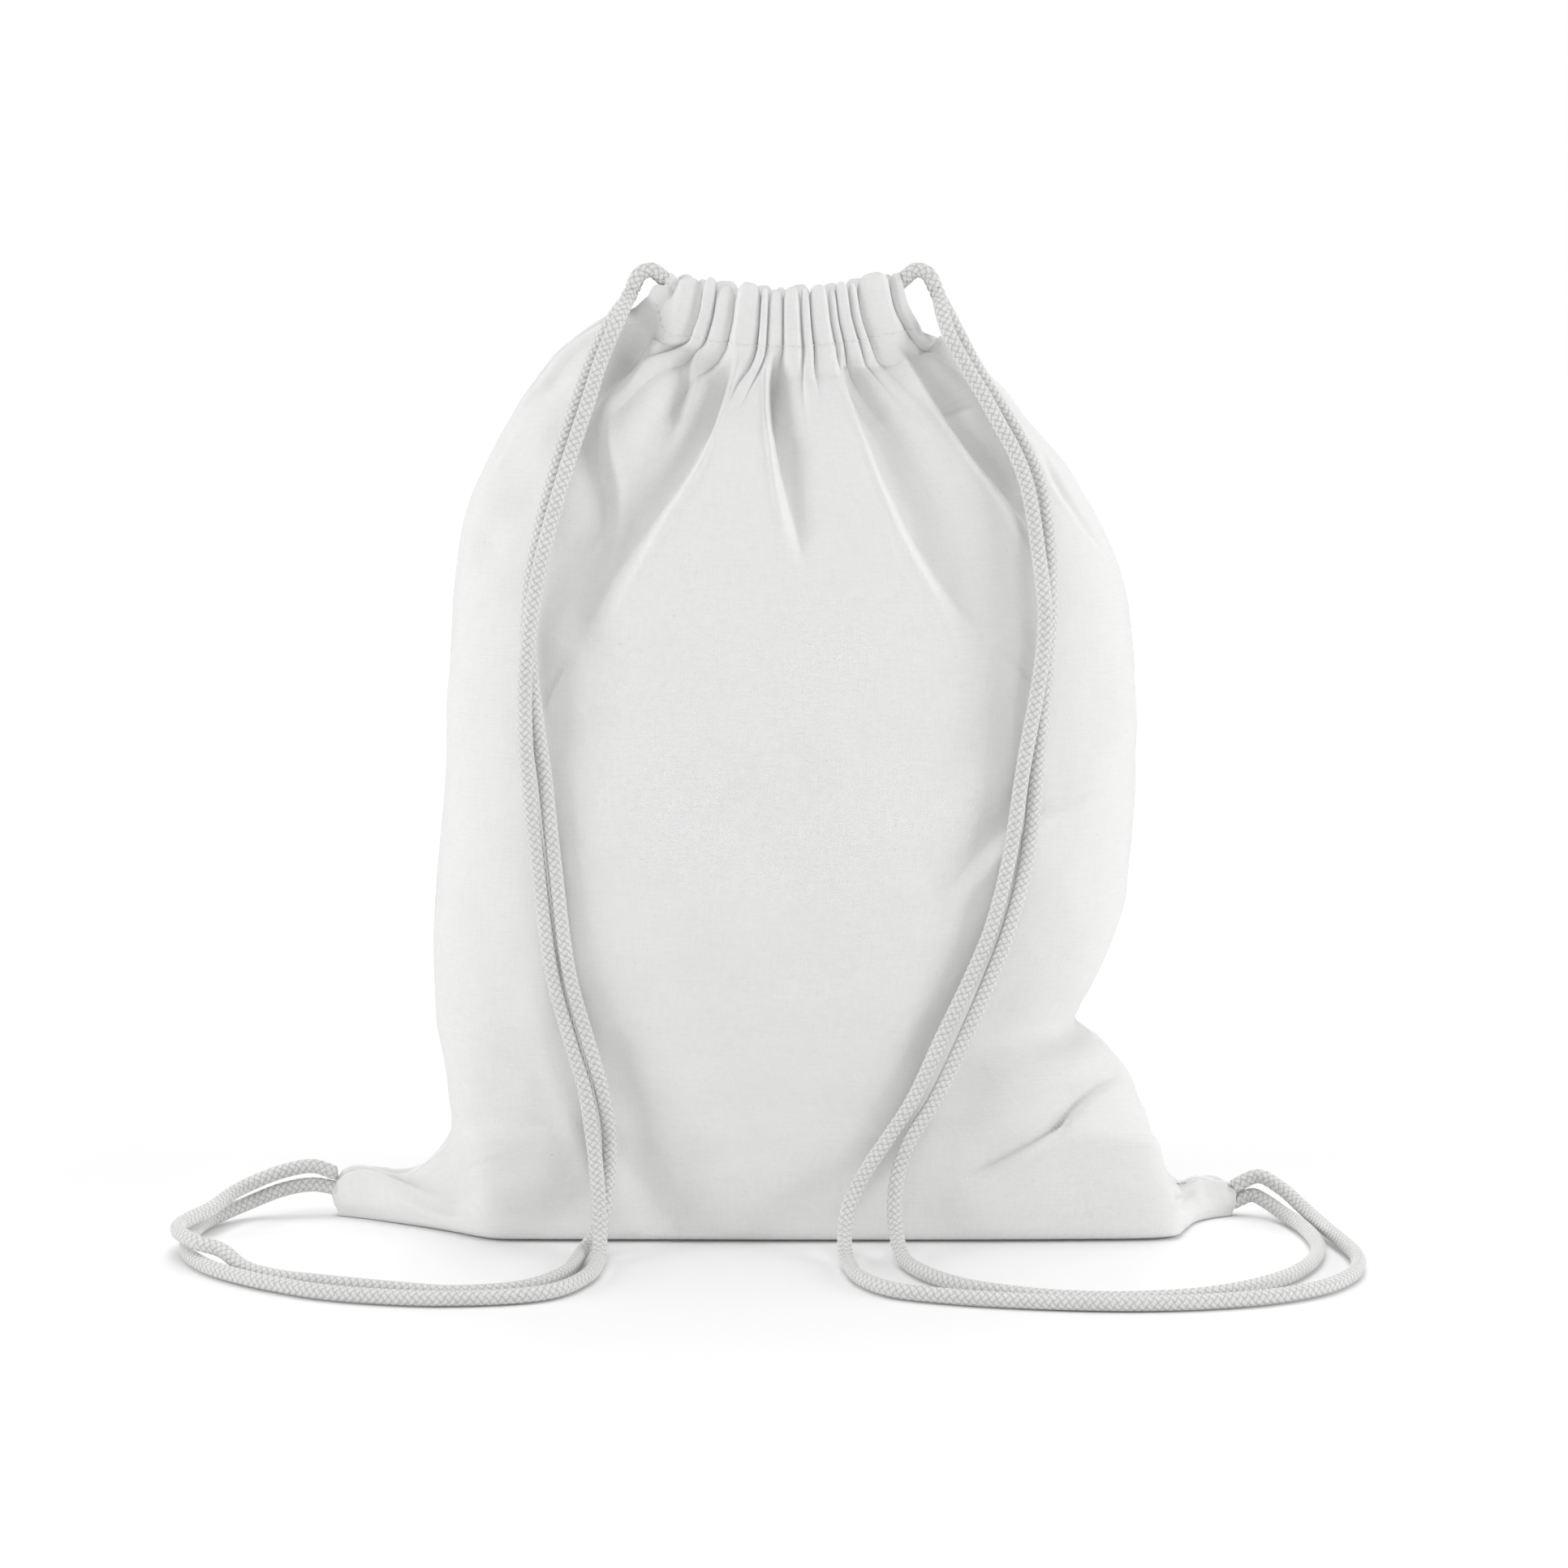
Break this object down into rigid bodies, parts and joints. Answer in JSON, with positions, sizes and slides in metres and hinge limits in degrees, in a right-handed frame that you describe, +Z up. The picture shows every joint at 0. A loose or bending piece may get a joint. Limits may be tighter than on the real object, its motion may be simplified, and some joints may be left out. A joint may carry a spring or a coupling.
{
  "type": "drawstring backpack",
  "caption": "Plain cotton drawstring backpack, standing filled out, with a gathered mouth and two doubled shoulder cords sewn into its bottom corners.",
  "frame": {"origin": "middle of the footprint, on the surface the bag stands on", "axes": "+Z up to the mouth, -Y out of the front of the bag, +X to the right as seen from the front"},
  "size_m": [0.4735, 0.2119, 0.392],
  "materials": {
    "cotton": "plain weave, matt",
    "thread": "sewing thread, matt",
    "cord": "round braid, matt"
  },
  "bodies": {
    "root": {"front_panel": "cotton", "back_panel": "cotton", "front_tunnel": "cotton", "back_tunnel": "cotton", "front_tunnel_stitch": "thread", "back_tunnel_stitch": "thread", "left_side_seam": "thread", "right_side_seam": "thread", "bottom_seam": "thread", "left_corner_bartack": "thread", "right_corner_bartack": "thread", "left_cord_tunnel_run": "cord", "right_cord_tunnel_run": "cord"},
    "left_strap": {"left_strap_front_strand": "cord", "left_strap_back_strand": "cord"},
    "right_strap": {"right_strap_front_strand": "cord", "right_strap_back_strand": "cord"}
  },
  "joints": [
    {"name": "left_shoulder_cord_swing", "type": "hinge", "parent": "root", "child": "left_strap", "pos_m": [-0.0605, -0.0068, 0.382], "axis": [-0.3268, 0.0175, -0.9449], "range_deg": [0, 35]},
    {"name": "right_shoulder_cord_swing", "type": "hinge", "parent": "root", "child": "right_strap", "pos_m": [0.0605, -0.0068, 0.382], "axis": [-0.3219, -0.0172, 0.9466], "range_deg": [0, 45]}
  ]
}
